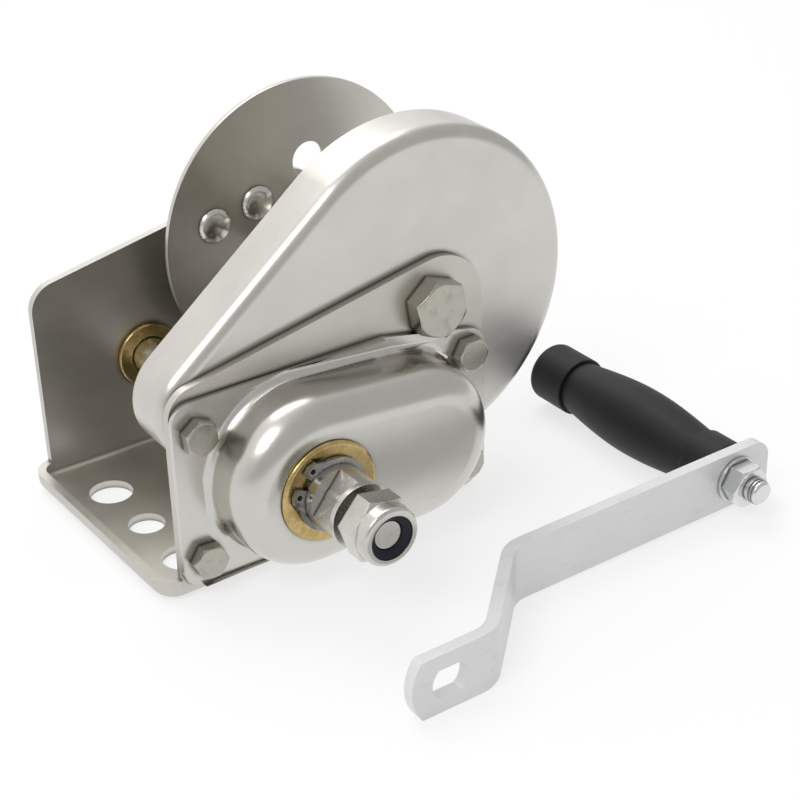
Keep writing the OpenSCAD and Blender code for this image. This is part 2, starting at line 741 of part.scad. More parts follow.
// Stock cut away to leave two flats on the drive line
module two_flats(width, from_y, to_y, stock) {
    translate([shaft_x, 0, shaft_h])
        rotate([0, hub_turn, 0])
            for (side = [0, 180])
                rotate([0, side, 0])
                    translate([-stock, from_y, width / 2])
                        cube([2 * stock, to_y - from_y, stock]);
}

// Drive shaft: plain through the frame, then the crank's seat with two flats, then a thread
module drive_shaft() color("silver") difference() {
    union() {
        rod([shaft_x, shaft_h], shaft_d / 2, seat_from_y, far_y + shaft_over);
        rod([shaft_x, shaft_h], seat_d / 2, seat_end_y, seat_from_y + 1);
        turned([shaft_x, shaft_h], [[0, shaft_front_y], [thread_d / 2 - thread_bevel, shaft_front_y],
                                    [thread_d / 2, shaft_front_y + thread_bevel],
                                    [thread_d / 2, seat_end_y + 1], [0, seat_end_y + 1]]);
    }
    two_flats(seat_flats, seat_end_y - 1, hub_end_y, seat_d);
    turned([shaft_x, shaft_h],
           [[shaft_groove_r, shaft_clip_y - run_gap], [shaft_d, shaft_clip_y - run_gap],
            [shaft_d, shaft_clip_y + shaft_clip_t + run_gap],
            [shaft_groove_r, shaft_clip_y + shaft_clip_t + run_gap]]);
}

module pinion() color("gray") difference() {
    translate([shaft_x, 0, shaft_h])
        slab(pinion_y, pinion_y + pinion_w)
            polygon(gear_outline(pinion_teeth, gear_shift, mesh_angle + 180));
    rod([shaft_x, shaft_h], shaft_d / 2 + run_gap, pinion_y - 1, pinion_y + pinion_w + 1);
}

// Flat ring on the drive shaft
module shaft_ring(outer_r, inner_r, from_y, to_y) {
    difference() {
        rod([shaft_x, shaft_h], outer_r, from_y, to_y);
        rod([shaft_x, shaft_h], inner_r, from_y - 1, to_y + 1);
    }
}

module pressure_plate() color("gray")
    shaft_ring(pressure_r, shaft_d / 2 + run_gap, pressure_y, pressure_y + pressure_t);

module friction_discs() color("saddlebrown")
    for (from_y = [inner_disc_y, outer_disc_y])
        shaft_ring(friction_r, shaft_d / 2 + 1, from_y, from_y + friction_t);

// Hub that squeezes the brake: a flange, a round neck with a clip groove, and two flats
module drive_hub() color("silver") difference() {
    union() {
        rod([shaft_x, shaft_h], hub_flange_r, hub_flange_y, hub_flange_y + hub_flange_t);
        rod([shaft_x, shaft_h], hub_r, hub_end_y, hub_flange_y + 1);
    }
    rod([shaft_x, shaft_h], shaft_d / 2 + run_gap, seat_from_y - run_gap, hub_flange_y + hub_flange_t + 1);
    rod([shaft_x, shaft_h], seat_d / 2 + run_gap, hub_end_y - 1, seat_from_y + 1);
    turned([shaft_x, shaft_h], [[clip_groove_r, clip_y - run_gap], [hub_r + 1, clip_y - run_gap],
                                [hub_r + 1, clip_y + clip_t + run_gap],
                                [clip_groove_r, clip_y + clip_t + run_gap]]);
    two_flats(hub_flats, hub_end_y - 1, collar_end_y, 2 * hub_r);
}

// Spring clip in the hub's groove, with its two eyes at the upper left
module hub_circlip() color("gray") difference() {
    union() {
        shaft_ring(clip_r, clip_groove_r + run_gap, clip_y, clip_y + clip_t);
        for (side = [-1, 1])
            translate([shaft_x, 0, shaft_h])
                rotate([0, -145 + side * 21, 0])
                    slab(clip_y, clip_y + clip_t)
                        polygon([[clip_groove_r + 0.8, -3.6], [hub_r + 4.6, -3], [hub_r + 5.4, 0],
                                 [hub_r + 4.6, 3], [clip_groove_r + 0.8, 3.6]]);
    }
    translate([shaft_x, 0, shaft_h])
        rotate([0, -145, 0])
            slab(clip_y - 1, clip_y + clip_t + 1)
                polygon([[0, 0], [2 * hub_r, -4.2], [2 * hub_r, 4.2]]);
    for (side = [-1, 1])
        rod([shaft_x + (hub_r + 2.6) * cos(145 + side * 21), shaft_h + (hub_r + 2.6) * sin(145 + side * 21)],
            1.1, clip_y - 1, clip_y + clip_t + 1);
}

module shaft_washer() color("silver")
    shaft_ring(washer_r, seat_d / 2 + run_gap, hub_end_y - washer_t, hub_end_y);

// Lock nut: a hexagon, and a round collar turned in over the nylon ring
module lock_nut() color("silver") difference() {
    union() {
        hex_head([shaft_x, shaft_h], nut_flats, nut_y - nut_hex_h, nut_y, lock_nut_turn);
        turned([shaft_x, shaft_h],
               concat([[0, nut_y - nut_hex_h / 2], [nut_collar_r, nut_y - nut_hex_h / 2]],
                      [for (a = [0:15:90]) [nut_collar_r - nut_lip_r * (1 - cos(a)),
                                            nut_front_y + nut_lip_r * (1 - sin(a))]],
                      [[0, nut_front_y]]));
    }
    rod([shaft_x, shaft_h], thread_d / 2 + run_gap, nut_front_y - 1, nut_y + 1);
    rod([shaft_x, shaft_h], insert_r, nut_front_y - 1, nut_front_y + insert_depth);
}

module nut_insert() color("black")
    turned([shaft_x, shaft_h], [[thread_d / 2 + run_gap, nut_front_y + insert_depth],
                                [insert_r - run_gap, nut_front_y + insert_depth],
                                [insert_r - run_gap, nut_front_y + 0.5],
                                [insert_r - 0.8, nut_front_y + 0.9],
                                [thread_d / 2 + run_gap, nut_front_y + 2.6]]);

module shaft_circlip() color("gray")
    shaft_ring(shaft_d / 2 + 2.4, shaft_groove_r + run_gap, shaft_clip_y, shaft_clip_y + shaft_clip_t);

module ratchet_wheel() color("gray") difference() {
    translate([shaft_x, 0, shaft_h])
        slab(ratchet_y, ratchet_y + ratchet_t)
            polygon(ratchet_outline());
    rod([shaft_x, shaft_h], shaft_d / 2 + run_gap, ratchet_y - 1, ratchet_y + ratchet_t + 1);
}

module pawl() color("gray") difference() {
    slab(ratchet_y, ratchet_y + ratchet_t)
        polygon(belt([[pawl_tip.x, pawl_tip.y, pawl_tip_r], [pawl_pivot.x, pawl_pivot.y, pawl_boss_r]]));
    rod(pawl_pivot, pawl_pin_r + run_gap, ratchet_y - 1, ratchet_y + ratchet_t + 1);
}

// Lays a piece of the crank on the floor, resting on the bar's end and on the grip
module laid_down() {
    translate([crank_rest_x, 0, 0])
        rotate([0, -crank_tilt, 0])
            translate([-crank_rest_x, 0, 0])
                children();
}

// Flat bar with a sloping step between the seat and the grip
module crank_arm() color("lightsteelblue") laid_down() {
    seat_end_x = crank_hole_x + crank_bend_from;
    slope_end_x = seat_end_x + crank_offset / tan(crank_bend);
    start_x = crank_hole_x - crank_end_reach;
    end_x = crank_hole_x + crank_len + grip_end_reach;
    inner_r = crank_bend_r;
    outer_r = crank_bend_r + bar_t;
    lead = (inner_r + bar_t / 2) * tan(crank_bend / 2);
    seat_bend = [seat_end_x - lead, crank_seat_y + outer_r];
    grip_bend = [slope_end_x + lead, crank_bar_y - inner_r];
    difference() {
        intersection() {
            linear_extrude(bar_w)
                polygon(concat(
                    [[start_x, crank_seat_y]],
                    arc(seat_bend, outer_r, -90, crank_bend - 90),
                    arc(grip_bend, inner_r, 90 + crank_bend, 90),
                    [[end_x, crank_bar_y], [end_x, crank_bar_y + bar_t]],
                    arc(grip_bend, outer_r, 90, 90 + crank_bend),
                    arc(seat_bend, inner_r, crank_bend - 90, -90),
                    [[start_x, crank_seat_y + bar_t]]));
            slab(crank_seat_y - 1, crank_bar_y + bar_t + 1)
                union() {
                    intersection() {
                        translate([start_x + crank_end_r, bar_w / 2]) circle(r = crank_end_r, $fn = 120);
                        translate([start_x, 0]) square([crank_end_r, bar_w]);
                    }
                    translate([start_x + crank_end_r, 0])
                        square([end_x - crank_corner_r - start_x - crank_end_r, bar_w]);
                    translate([end_x - crank_corner_r - 1, crank_corner_r])
                        square([crank_corner_r + 1, bar_w - 2 * crank_corner_r]);
                    for (z = [crank_corner_r, bar_w - crank_corner_r])
                        translate([end_x - crank_corner_r, z]) circle(r = crank_corner_r);
                }
        }
        slab(crank_seat_y - 1, crank_seat_y + bar_t + 1)
            intersection() {
                translate([crank_hole_x, bar_w / 2]) circle(d = crank_hole_w);
                translate([crank_hole_x - crank_hole_w, (bar_w - crank_hole_flats) / 2])
                    square([2 * crank_hole_w, crank_hole_flats]);
            }
        rod(grip_at, grip_bolt_d / 2 + run_gap, crank_bar_y - 1, crank_bar_y + bar_t + 1);
    }
}

// Long bolt that the grip turns on, its head inside the grip's end
module grip_bolt() color("silver") laid_down() {
    end_y = crank_bar_y - grip_washer_t - grip_nut_h - grip_bolt_over;
    hex_rod(grip_at, grip_flats, grip_head_y, grip_head_y + grip_head_h);
    turned(grip_at, [[0, grip_head_y + 1], [grip_bolt_d / 2, grip_head_y + 1],
                     [grip_bolt_d / 2, end_y], [grip_bolt_d / 2 - grip_bolt_bevel, end_y - grip_bolt_bevel],
                     [0, end_y - grip_bolt_bevel]]);
}

module grip_nut() color("silver") laid_down() difference() {
    hex_head(grip_at, grip_flats, crank_bar_y - grip_washer_t - grip_nut_h, crank_bar_y - grip_washer_t, 0);
    rod(grip_at, grip_bolt_d / 2 + run_gap, crank_bar_y - grip_washer_t - grip_nut_h - 1, crank_bar_y);
}

module grip_washer() color("silver") laid_down() difference() {
    rod(grip_at, grip_washer_r, crank_bar_y - grip_washer_t, crank_bar_y);
    rod(grip_at, grip_bolt_d / 2 + run_gap, crank_bar_y - grip_washer_t - 1, crank_bar_y + 1);
}

// Radius of the grip's outside at a distance from the bar: a collar, a neck, a swell and a neck
function grip_r_at(s) =
    let (body_from = grip_collar_len + 1.5,
         share = (s - body_from) / (grip_len - cap_len - body_from))
    s < grip_collar_len ? grip_collar_r
    : s < body_from ? grip_collar_r - (grip_collar_r - grip_neck_r) * (s - grip_collar_len) / 1.5
    : grip_neck_r + (grip_d / 2 - grip_neck_r) * pow(max(0, sin(180 * share)), 1.1);

// Hollow grip, turning on its bolt
module crank_grip() color("black") laid_down() {
    body_len = grip_len - cap_len;
    first_y = grip_rear_y + 0.3;
    stations = concat([0, grip_collar_len - 0.1, grip_collar_len + 1.5],
                      [for (k = [1:20]) grip_collar_len + 1.5 + (body_len - grip_collar_len - 1.5) * k / 20]);
    turned(grip_at, concat(
        [[grip_bolt_d / 2 + run_gap * 2, first_y]],
        [for (s = stations) [grip_r_at(s), max(grip_rear_y + s, first_y)]],
        [[grip_bolt_d / 2 + run_gap * 2, grip_rear_y + body_len]]));
}

// Closed cap on the grip's far end
module grip_cap() color("black") laid_down() {
    from_y = grip_rear_y + grip_len - cap_len;
    to_y = grip_rear_y + grip_len;
    bore_r = grip_neck_r - 2;
    turned(grip_at, concat([[bore_r, from_y], [grip_ring_r, from_y]],
                           [for (a = [0:15:90]) [grip_ring_r - cap_round_r * (1 - cos(a)),
                                                 to_y - cap_round_r * (1 - sin(a))]],
                           [[0, to_y], [0, to_y - cap_end_t],
                            [bore_r, to_y - cap_end_t - cap_bore_bevel]]));
}

frame();
gear_cover();
brake_cover();
cover_bolts();
axle_bolt();
axle_nut();
axle_sleeve();
far_bush();
plate_bush();
cover_bush();
pawl_pin();
pawl_clip();
pawl_spring();
drum_gear();
near_flange();
far_flange();
drum_core();
drum_rivets();
drum_bushes();
rope_clamp();
clamp_bolts();
clamp_nuts();
drive_shaft();
pinion();
pressure_plate();
friction_discs();
drive_hub();
hub_circlip();
shaft_washer();
lock_nut();
nut_insert();
shaft_circlip();
ratchet_wheel();
pawl();
crank_arm();
grip_bolt();
grip_nut();
grip_washer();
crank_grip();
grip_cap();
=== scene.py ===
import json
import math

import bpy
from bpy.props import FloatProperty, FloatVectorProperty, IntProperty, PointerProperty
from mathutils import Matrix, Vector


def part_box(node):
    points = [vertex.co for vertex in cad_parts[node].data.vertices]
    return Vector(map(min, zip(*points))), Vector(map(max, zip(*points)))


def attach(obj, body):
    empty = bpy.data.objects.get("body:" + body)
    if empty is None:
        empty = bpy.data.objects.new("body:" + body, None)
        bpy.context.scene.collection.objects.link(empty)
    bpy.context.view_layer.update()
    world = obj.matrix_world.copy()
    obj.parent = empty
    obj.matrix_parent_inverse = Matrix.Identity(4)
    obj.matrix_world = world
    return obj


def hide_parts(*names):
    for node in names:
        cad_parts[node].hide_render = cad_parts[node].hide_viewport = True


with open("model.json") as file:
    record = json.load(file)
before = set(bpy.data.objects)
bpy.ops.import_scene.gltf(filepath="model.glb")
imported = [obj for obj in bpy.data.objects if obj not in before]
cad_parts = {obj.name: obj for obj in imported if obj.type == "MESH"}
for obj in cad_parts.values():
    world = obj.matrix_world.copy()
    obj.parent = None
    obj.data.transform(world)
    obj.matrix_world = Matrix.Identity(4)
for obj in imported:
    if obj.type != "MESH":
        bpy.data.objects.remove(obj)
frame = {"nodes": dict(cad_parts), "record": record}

bl_info = {
    "name": "Anchor winch",
    "version": (1, 0, 0),
    "blender": (4, 5, 0),
    "location": "View3D > Sidebar > Winch",
    "description": "Dresses the anchor winch: covers, frame, fasteners, drum, brake and crank",
    "category": "Object",
}

MM = 0.001
NODES = frame["nodes"]
BODIES = frame["record"]["behaviour"]["bodies"]
BODY_OF = {node: body for body, nodes in BODIES.items() for node in nodes}
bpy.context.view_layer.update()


# Places read from the frame

def middle(node):
    low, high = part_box(node)
    return (low + high) / 2


SHAFT = middle("drive_shaft")
AXLE = middle("far_flange")
COVER_LOW, COVER_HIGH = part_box("brake_cover")
GEARS_LOW, GEARS_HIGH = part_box("gear_cover")
PLATE_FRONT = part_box("frame")[0].y


# Shader building

class Value:
    """A node's output that takes part in Python expressions."""

    def __init__(self, finish, socket):
        self.finish = finish
        self.socket = socket

    def _math(self, operation, *terms):
        return self.finish.add("ShaderNodeMath", {"operation": operation}, terms)

    def __add__(self, other):
        return self._math("ADD", self, other)

    def __radd__(self, other):
        return self._math("ADD", other, self)

    def __sub__(self, other):
        return self._math("SUBTRACT", self, other)

    def __rsub__(self, other):
        return self._math("SUBTRACT", other, self)

    def __mul__(self, other):
        return self._math("MULTIPLY", self, other)

    def __rmul__(self, other):
        return self._math("MULTIPLY", other, self)

    def clamped(self):
        return self.finish.add("ShaderNodeClamp", {}, {"Value": self})


class Finish:
    """The shader nodes of one material or world."""

    def __init__(self, owner, output_kind="ShaderNodeOutputMaterial"):
        self.owner = owner
        self.owner.use_nodes = True
        self.tree = owner.node_tree
        self.tree.nodes.clear()
        self.output = self.tree.nodes.new(output_kind)
        self.coordinates = self.tree.nodes.new("ShaderNodeTexCoord")
        self.object_point = Value(self, self.coordinates.outputs["Object"])

    def add(self, kind, settings, inputs, output=0):
        """Adds a node, sets it, gives its inputs numbers or other nodes, and returns one output."""
        node = self.tree.nodes.new(kind)
        for key, setting in settings.items():
            if key == "stops":
                self._set_stops(node.color_ramp, setting)
            else:
                setattr(node, key, setting)
        pairs = inputs.items() if isinstance(inputs, dict) else enumerate(inputs)
        for key, value in pairs:
            if isinstance(value, Value):
                self.tree.links.new(value.socket, node.inputs[key])
            else:
                node.inputs[key].default_value = value
        return Value(self, node.outputs[output])

    @staticmethod
    def _set_stops(ramp, stops):
        while len(ramp.elements) < len(stops):
            ramp.elements.new(1.0)
        for element, (position, shade) in zip(ramp.elements, stops):
            element.position = position
            element.color = (shade, shade, shade, 1.0)

    def noise(self, size, stretch=(1.0, 1.0, 1.0), detail=3.0, roughness=0.5, turn=(0.0, 0.0, 0.0)):
        """Noise with features of about the given size in metres, drawn out along the axes."""
        point = self.add("ShaderNodeMapping", {}, {
            "Vector": self.object_point,
            "Rotation": turn,
            "Scale": tuple(1.0 / (size * s) for s in stretch),
        })
        return self.add("ShaderNodeTexNoise", {}, {
            "Vector": point, "Scale": 1.0, "Detail": detail, "Roughness": roughness,
        })

    def ramp(self, value, *stops):
        return self.add("ShaderNodeValToRGB", {"stops": stops}, {"Fac": value})

    def blend(self, factor, first, second):
        """Colour between two colours, by the sockets that the mix node has for colours."""
        factor_in, first_in, second_in, colour_out = 0, 6, 7, 2
        first, second = [c if isinstance(c, Value) else tuple(c) + (1.0,) for c in (first, second)]
        inputs = {factor_in: factor, first_in: first, second_in: second}
        return self.add("ShaderNodeMix", {"data_type": "RGBA"}, inputs, colour_out)

    def bump(self, height, distance, strength):
        inputs = {"Height": height, "Distance": distance, "Strength": strength}
        return self.add("ShaderNodeBump", {}, inputs)

    def painted_crease_shade(self, tone, distance=0.0024):
        """Painted shade: darkens a colour by ambient occlusion in the creases and contact lines between two
        pieces.
        """
        unshaded_from = 0.92
        shade_strength = 1.5
        shade_colour = (0.05, 0.045, 0.035)
        # painted shade: ambient occlusion darkens the colour towards a dark brown in creases and where
        # pieces touch
        openness = self.add("ShaderNodeAmbientOcclusion", {"samples": 8}, {"Distance": distance}, "AO")
        painted_shade = ((unshaded_from - openness) * shade_strength).clamped()
        return self.blend(painted_shade, tone, shade_colour)

    def end(self, shader):
        self.tree.links.new(shader.socket, self.output.inputs["Surface"])
        return self.owner

    def surface(self, **inputs):
        """Ends the material in a Principled shader with these sockets set."""
        named = {key.replace("_", " "): value for key, value in inputs.items()}
        return self.end(self.add("ShaderNodeBsdfPrincipled", {}, named))


def new_finish(name):
    return Finish(bpy.data.materials.new(name))


def shaded(colour, share):
    return tuple(min(1.0, c * share) for c in colour)


def satin_steel(name, colour, grain_along, roughness, cloud=0.05):
    """Rolled stainless sheet with a fine drawn grain, soft clouding and hairline scratches."""
    finish = new_finish(name)
    grain = finish.noise(0.0005, grain_along, detail=4.0, roughness=0.6)
    clouds = finish.noise(0.03)
    smears = finish.noise(0.009, tuple(1.0 + 0.12 * s for s in grain_along), detail=4.0, roughness=0.6)
    hairline = finish.noise(0.0008, (40.0, 1.0, 1.0), detail=0.0, turn=(0.0, 0.55, 0.2))
    scratches = finish.ramp(hairline, (0.8, 0.0), (0.86, 1.0))
    mottling = finish.ramp(clouds * 0.55 + smears * 0.45, (0.36, 0.0), (0.64, 1.0))
    tone = finish.blend(mottling, shaded(colour, 1.0 - cloud), shaded(colour, 1.0 + cloud))
    rough = roughness + (grain - 0.5) * 0.06 + (smears - 0.5) * 0.08 + scratches * 0.08
    return finish.surface(
        # painted shade in the creases and contact lines, from ambient occlusion
        Base_Color=finish.painted_crease_shade(tone), Metallic=1.0, Roughness=rough.clamped(),
        Normal=finish.bump(grain, 0.00001, 0.06),
    )


def turned_steel(name, colour, roughness, pitting=0.3):
    """Machined or headed steel with fine marks and a little staining."""
    finish = new_finish(name)
    fine = finish.noise(0.0006, detail=4.0, roughness=0.55)
    marks = finish.noise(0.0035, (1.0, 0.35, 1.0))
    blotches = finish.noise(0.005, detail=5.0, roughness=0.7)
    stains = finish.ramp(blotches, (0.5, 0.0), (0.72, 1.0))
    tone = finish.blend(stains * pitting, colour, shaded(colour, 0.7))
    rough = roughness + (fine - 0.5) * 0.10 + (marks - 0.5) * 0.12 + stains * (0.12 * pitting)
    return finish.surface(
        # painted shade in the creases and contact lines, from ambient occlusion
        Base_Color=finish.painted_crease_shade(tone, distance=0.0014), Metallic=1.0, Roughness=rough.clamped(),
        Normal=finish.bump(fine * 0.2 + marks * 0.8, 0.00003, 0.08),
    )


def zinc_plate(name, colour, roughness):
    """Dull zinc plate: a pale, cloudy white metal with small spangles and rubbed spots."""
    finish = new_finish(name)
    clouds = finish.noise(0.012, (1.6, 1.0, 1.0), detail=4.0, roughness=0.6)
    fine = finish.noise(0.0008, detail=4.0, roughness=0.7)
    spots = finish.noise(0.004, (2.0, 1.0, 0.6), detail=5.0, roughness=0.7)
    rubs = finish.ramp(spots, (0.56, 0.0), (0.72, 1.0))
    tone = finish.blend(clouds, shaded(colour, 0.9), colour)
    tone = finish.blend(rubs * 0.5, tone, shaded(colour, 0.74))
    rough = roughness + (clouds - 0.5) * 0.12 + (fine - 0.5) * 0.12
    return finish.surface(
        Base_Color=tone, Metallic=0.45, Roughness=rough.clamped(),
        Normal=finish.bump(fine * 0.6 + rubs * 0.4, 0.00004, 0.5),
    )


def cast_bronze(name, colour, roughness):
    """Turned bronze with ring marks and darker tarnish."""
    finish = new_finish(name)
    rings = finish.noise(0.0006, (0.5, 4.0, 0.5))
    tarnish = finish.noise(0.005, detail=5.0, roughness=0.65)
    mask = finish.ramp(tarnish, (0.4, 0.0), (0.68, 1.0))
    tone = finish.blend(mask, colour, (colour[0] * 0.7, colour[1] * 0.64, colour[2] * 0.52))
    rough = roughness + mask * 0.12 + (rings - 0.5) * 0.10
    return finish.surface(
        Base_Color=tone, Metallic=1.0, Roughness=rough.clamped(),
        Normal=finish.bump(rings, 0.00002, 0.4),
    )


def moulded_plastic(name, colour, roughness, grain=0.0006, depth=0.00004):
    """Moulded plastic with a fine grain and slightly polished patches."""
    finish = new_finish(name)
    fine = finish.noise(grain, roughness=0.6)
    patches = finish.noise(0.015)
    tone = finish.blend(patches, colour, tuple(c * 1.35 + 0.002 for c in colour))
    rough = roughness + (patches - 0.5) * 0.14 + (fine - 0.5) * 0.08
    return finish.surface(
        Base_Color=tone, Metallic=0.0, Roughness=rough.clamped(), Specular_IOR_Level=0.3,
        Normal=finish.bump(fine, depth, 0.6),
    )


# Modelling helpers

ON_PLANE = 0.02 * MM
WELD = 0.002 * MM
CUT_CLEAR = 5 * MM
HOLE_POINTS = 64
SEAT_POINTS = 96


def deselect_all():
    if bpy.context.object and bpy.context.object.mode != "OBJECT":
        bpy.ops.object.mode_set(mode="OBJECT")
    for obj in bpy.context.selected_objects:
        obj.select_set(False)


def activate(*objects):
    deselect_all()
    for obj in objects:
        obj.select_set(True)
    bpy.context.view_layer.objects.active = objects[0]


def pick(obj, vertices=None, edges=None, faces=None):
    """Selects the parts of a mesh that pass a test, and leaves the object in edit mode."""
    activate(obj)
    mode = (vertices is not None, edges is not None, faces is not None)
    bpy.context.tool_settings.mesh_select_mode = mode
    mesh = obj.data
    for group in (mesh.vertices, mesh.edges, mesh.polygons):
        group.foreach_set("select", [False] * len(group))
    if vertices is not None:
        for vertex in mesh.vertices:
            vertex.select = bool(vertices(vertex))
    if edges is not None:
        for edge in mesh.edges:
            edge.select = bool(edges(*[mesh.vertices[i].co for i in edge.vertices]))
    if faces is not None:
        for face in mesh.polygons:
            face.select = bool(faces(face))
    bpy.ops.object.mode_set(mode="EDIT")


def done():
    bpy.ops.object.mode_set(mode="OBJECT")


def modify(obj, kind, **settings):
    """Adds a modifier, sets it and applies it."""
    activate(obj)
    modifier = obj.modifiers.new(kind, kind)
    for key, setting in settings.items():
        setattr(modifier, key, setting)
    bpy.ops.object.modifier_apply(modifier=modifier.name)


def break_edges(obj, width, segments, angle):
    """Rounds the edges that turn by more than an angle in degrees."""
    modify(obj, "BEVEL", width=width, segments=segments, limit_method="ANGLE",
           angle_limit=math.radians(angle))


def smooth(obj, angle):
    """Smooth curves with flat faces kept flat up to their broken edges."""
    activate(obj)
    bpy.ops.object.shade_smooth_by_angle(angle=math.radians(angle))
    modify(obj, "WEIGHTED_NORMAL", mode="FACE_AREA", weight=100, keep_sharp=True)


def name_piece(obj, name, material):
    """Gives a piece its name and its one material."""
    obj.name = name
    obj.data.name = name
    obj.data.materials.clear()
    obj.data.materials.append(material)


def finish_piece(obj, name, nodes, material):
    """Names a piece, gives it its finish and lets it stand for its CAD nodes."""
    name_piece(obj, name, material)
    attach(obj, BODY_OF[nodes[0]])
    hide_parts(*nodes)


def dressed_copy(node, material, edge=0.2, segments=2):
    """A merged copy of a CAD node with smooth curves and edges broken by so many millimetres."""
    source = NODES[node]
    activate(source)
    bpy.ops.object.duplicate()
    copy = bpy.context.object
    for key in list(copy.keys()):
        del copy[key]
    copy.parent = None
    activate(copy)
    bpy.ops.object.mode_set(mode="EDIT")
    bpy.ops.mesh.select_all(action="SELECT")
    bpy.ops.mesh.remove_doubles(threshold=WELD)
    bpy.ops.mesh.dissolve_limited(angle_limit=math.radians(0.4), delimit=set())
    done()
    break_edges(copy, edge * MM, segments, angle=40)
    smooth(copy, angle=32)
    finish_piece(copy, node + "_dressed", [node], material)


def tangent_angle(a, b):
    """Angle of the outward normal of the line that touches circles a and b, going anticlockwise."""
    dx, dz = b[0] - a[0], b[1] - a[1]
    return math.atan2(dz, dx) - math.pi / 2 + math.asin((a[2] - b[2]) / math.hypot(dx, dz))


def belt_face(circles, y, count):
    """Flat face in an XZ plane whose outline is a belt round circles (x, z, radius)."""
    deselect_all()
    bpy.ops.mesh.primitive_circle_add(vertices=count, radius=1.0, fill_type="NGON",
                                      rotation=(math.pi / 2, 0, 0))
    obj = bpy.context.object
    bpy.ops.object.transform_apply(rotation=True)
    starts = [tangent_angle(circles[i - 1], circles[i]) for i in range(len(circles))]

    def owner(vertex):
        angle = math.atan2(vertex.co.z, vertex.co.x)
        turns = [(angle - start) % (2 * math.pi) for start in starts]
        return turns.index(min(turns))

    owners = [owner(vertex) for vertex in obj.data.vertices]
    for number, (x, z, radius) in enumerate(circles):
        pick(obj, vertices=lambda v: owners[v.index] == number)
        bpy.ops.transform.resize(value=(radius,) * 3, center_override=(0, 0, 0))
        bpy.ops.transform.translate(value=(x, y, z))
        done()
    return obj


def at_y(y):
    """Test for edges that lie at a place along Y."""
    return lambda a, b: abs(a.y - y) < ON_PLANE and abs(b.y - y) < ON_PLANE


def open_prism(circles, face_y, back_y, count):
    """Belt-shaped prism with its face towards -Y and no back."""
    obj = belt_face(circles, face_y, count)
    pick(obj, faces=lambda f: True)
    bpy.ops.mesh.extrude_region_move(TRANSFORM_OT_translate={"value": (0, back_y - face_y, 0)})
    done()
    pick(obj, faces=lambda f: abs(f.center.y - back_y) < ON_PLANE)
    bpy.ops.mesh.delete(type="ONLY_FACE")
    done()
    return obj


def face_outwards(obj):
    """Turns the skin's normals outwards, judged by the faces that look along Y."""
    pick(obj, faces=lambda f: True)
    bpy.ops.mesh.normals_make_consistent(inside=False)
    done()
    front = min(obj.data.polygons, key=lambda f: f.center.y)
    if front.normal.y > 0:
        pick(obj, faces=lambda f: True)
        bpy.ops.mesh.flip_normals()
        done()


def rod_cutter(x, z, radius, low_y, high_y, points=HOLE_POINTS):
    """Cylinder along Y."""
    deselect_all()
    bpy.ops.mesh.primitive_cylinder_add(vertices=points, radius=radius, depth=high_y - low_y,
                                        location=(x, (low_y + high_y) / 2, z), rotation=(math.pi / 2, 0, 0))
    return bpy.context.object


def cut_away(obj, cutter):
    modify(obj, "BOOLEAN", operation="DIFFERENCE", object=cutter, solver="EXACT")
    bpy.data.objects.remove(cutter)


def double_d_cutter(x, z, width, flats, low_y, high_y):
    """Cylinder along Y with two flats, one above and one below."""
    cutter = rod_cutter(x, z, width / 2, low_y, high_y, SEAT_POINTS)
    bpy.ops.object.transform_apply(location=True, rotation=True)
    for side in (-1, 1):
        pick(cutter, faces=lambda f: True)
        bpy.ops.mesh.bisect(plane_co=(x, 0, z + side * flats / 2), plane_no=(0, 0, side), use_fill=True,
                            clear_outer=True)
        done()
    return cutter


def thread(name, node, radius, pitch, low_y, high_y, material):
    """Screw thread round a bolt's end: a ridge wound along Y and closed at both ends."""
    depth = 0.3 * pitch
    chamfer = 0.8 * pitch
    gap_at_nut = 0.4 * pitch
    turns = int((high_y - low_y - chamfer - gap_at_nut) / pitch)
    deselect_all()
    bpy.ops.mesh.primitive_circle_add(vertices=3, radius=depth, location=(radius, 0, 0))
    ridge = bpy.context.object
    bpy.ops.object.transform_apply(location=True)
    modify(ridge, "SCREW", axis="Y", screw_offset=pitch, iterations=turns, steps=36, render_steps=36,
           use_smooth_shade=False)
    pick(ridge, vertices=lambda v: True)
    bpy.ops.mesh.fill_holes(sides=3)
    bpy.ops.mesh.normals_make_consistent(inside=False)
    done()
    centre = middle(node)
    activate(ridge)
    bpy.ops.transform.translate(value=(centre.x, low_y + chamfer, centre.z))
    bpy.ops.object.transform_apply(location=True)
    smooth(ridge, angle=50)
    name_piece(ridge, name, material)
    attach(ridge, BODY_OF[node])


class BarEnd:
    """The open end of a flat bar, pushed along a path in the XY plane while the bar grows behind it."""

    def __init__(self, x, y, z, thickness, width):
        deselect_all()
        bpy.ops.mesh.primitive_plane_add(size=1.0, rotation=(0, math.pi / 2, 0))
        self.bar = bpy.context.object
        bpy.ops.object.transform_apply(rotation=True)
        self.place = Vector((x, y, z))
        self.heading = 0.0
        pick(self.bar, faces=lambda f: True)
        bpy.ops.transform.resize(value=(1, thickness, width), center_override=(0, 0, 0))
        bpy.ops.transform.translate(value=self.place)

    def push(self, length):
        step = Vector((math.cos(self.heading), math.sin(self.heading), 0)) * length
        self.place += step
        bpy.ops.mesh.extrude_region_move(TRANSFORM_OT_translate={"value": step})

    def widen(self, ratio):
        bpy.ops.transform.resize(value=(1, 1, ratio), center_override=self.place)

    def bend(self, radius, angle, steps=12):
        turn = angle / steps
        for _ in range(steps):
            self.heading += turn / 2
            self.push(2 * radius * math.sin(abs(turn) / 2))
            bpy.ops.transform.rotate(value=-turn, orient_axis="Z", center_override=self.place)
            self.heading += turn / 2


# Settings

def in_mm(name, description, millimetres):
    return FloatProperty(name=name, description=description, default=millimetres * MM, unit="LENGTH")


